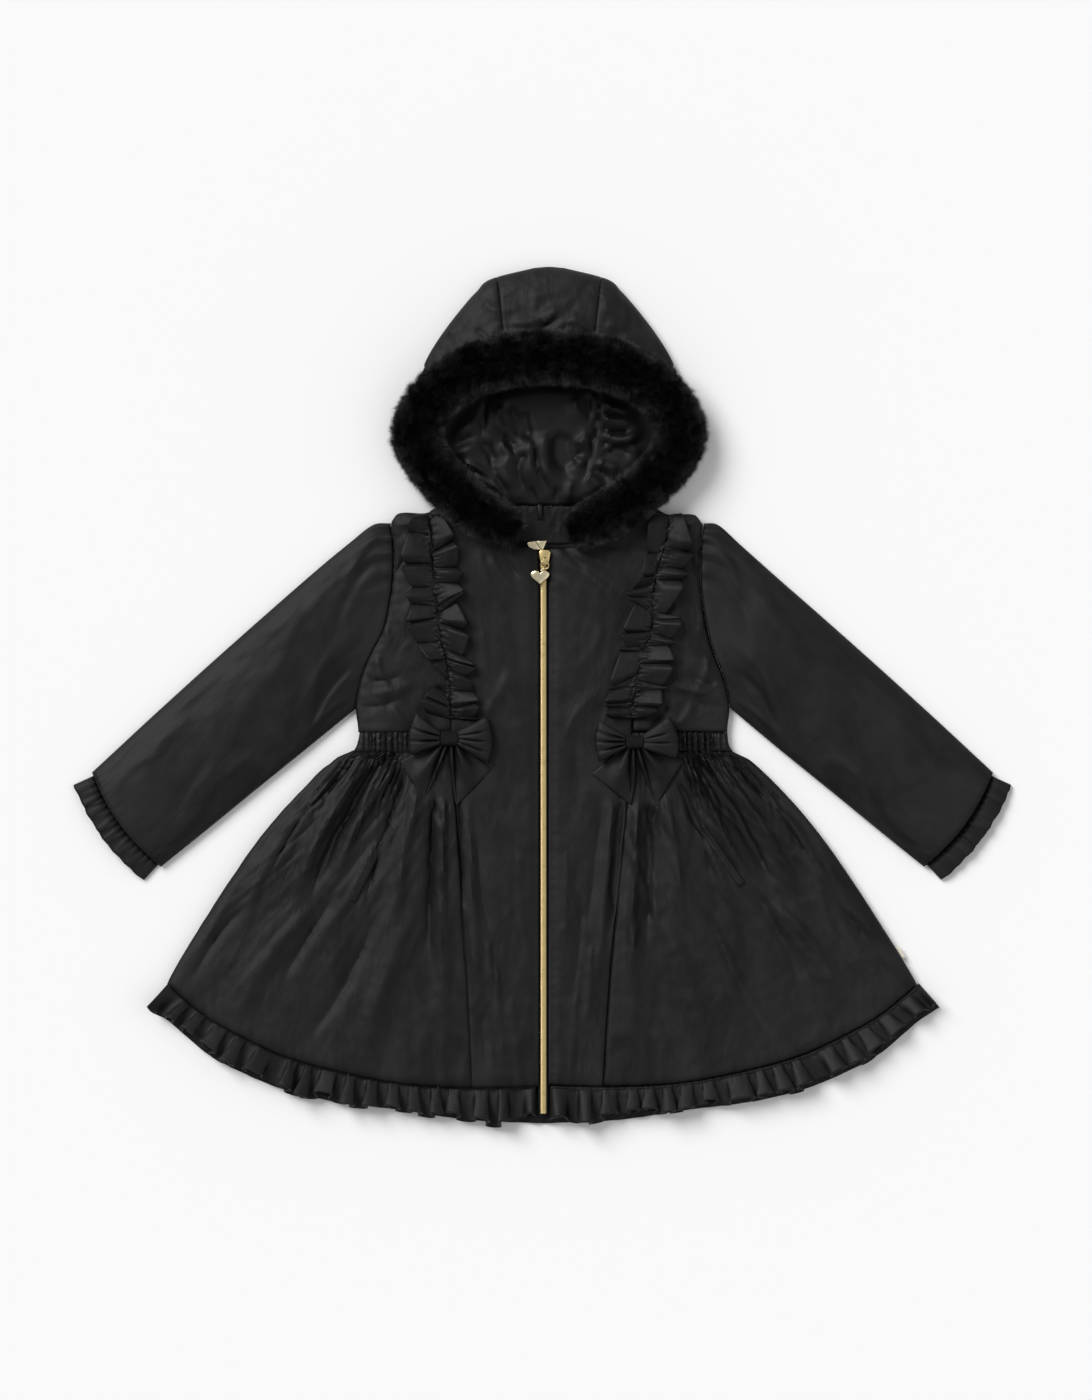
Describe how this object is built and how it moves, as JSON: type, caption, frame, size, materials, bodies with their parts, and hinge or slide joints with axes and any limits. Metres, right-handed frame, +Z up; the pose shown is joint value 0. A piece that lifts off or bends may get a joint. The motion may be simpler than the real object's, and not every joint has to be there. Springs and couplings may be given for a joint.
{
  "type": "child's hooded party coat laid flat",
  "caption": "Child's black padded coat lying flat, front up: fur-trimmed hood, gathered skirt, ruffles, waist bows and a gold zip with a heart pull.",
  "frame": {"origin": "bottom centre of the bounding box, on the surface that the coat lies on", "axes": "+X to the right across the spread arms as seen from the front, +Y from the hem to the hood, +Z up out of the coat's front"},
  "size_m": [0.9396, 0.856, 0.067],
  "materials": {
    "taffeta": "black polyester taffeta with a soft sheen, lightly padded",
    "lining": "black satin, smooth and glossy",
    "fur": "dense black faux fur with slightly grey tips",
    "tape": "black woven zip tape, matt",
    "gold": "pale gold plated metal",
    "tab": "cream woven tape, blank"
  },
  "bodies": {
    "root": {"back_bodice": "taffeta", "back_casing": "taffeta", "back_skirt": "taffeta", "front_centre_l": "taffeta", "front_centre_r": "taffeta", "front_side_l": "taffeta", "front_side_r": "taffeta", "front_casing_l": "taffeta", "front_casing_r": "taffeta", "front_skirt_l": "taffeta", "front_skirt_r": "taffeta", "sleeve_l": "taffeta", "sleeve_r": "taffeta", "cuff_ruffle_l": "taffeta", "cuff_ruffle_r": "taffeta", "hem_ruffle_l": "taffeta", "hem_ruffle_r": "taffeta", "hem_ruffle_back": "taffeta", "chest_ruffle_l": "taffeta", "chest_ruffle_r": "taffeta", "bow_l_knot": "taffeta", "bow_l_loop_l": "taffeta", "bow_l_loop_r": "taffeta", "bow_l_tail_l": "taffeta", "bow_l_tail_r": "taffeta", "bow_r_knot": "taffeta", "bow_r_loop_l": "taffeta", "bow_r_loop_r": "taffeta", "bow_r_tail_l": "taffeta", "bow_r_tail_r": "taffeta", "hood_back": "taffeta", "hood_centre": "taffeta", "hood_side_l": "taffeta", "hood_side_r": "taffeta", "pocket_welt_l": "taffeta", "pocket_welt_r": "taffeta", "hood_lining": "lining", "neck_facing": "lining", "hanger_loop": "lining", "fur_trim": "fur", "zip_tape_l": "tape", "zip_tape_r": "tape", "zip_chain": "gold", "zip_slider": "gold", "zip_top_l": "gold", "zip_top_r": "gold", "side_tab": "tab"},
    "pull_link": {"pull_link": "gold"},
    "pull_heart": {"pull_heart": "gold"}
  },
  "joints": [
    {"name": "link_flip", "type": "hinge", "parent": "root", "child": "pull_link", "pos_m": [0.0022, 0.1346, 0.0186], "axis": [-1, 0, 0], "range_deg": [0, 150]},
    {"name": "heart_flip", "type": "hinge", "parent": "pull_link", "child": "pull_heart", "pos_m": [0.001, 0.1272, 0.017], "axis": [-1, 0, 0], "range_deg": [0, 45]}
  ]
}
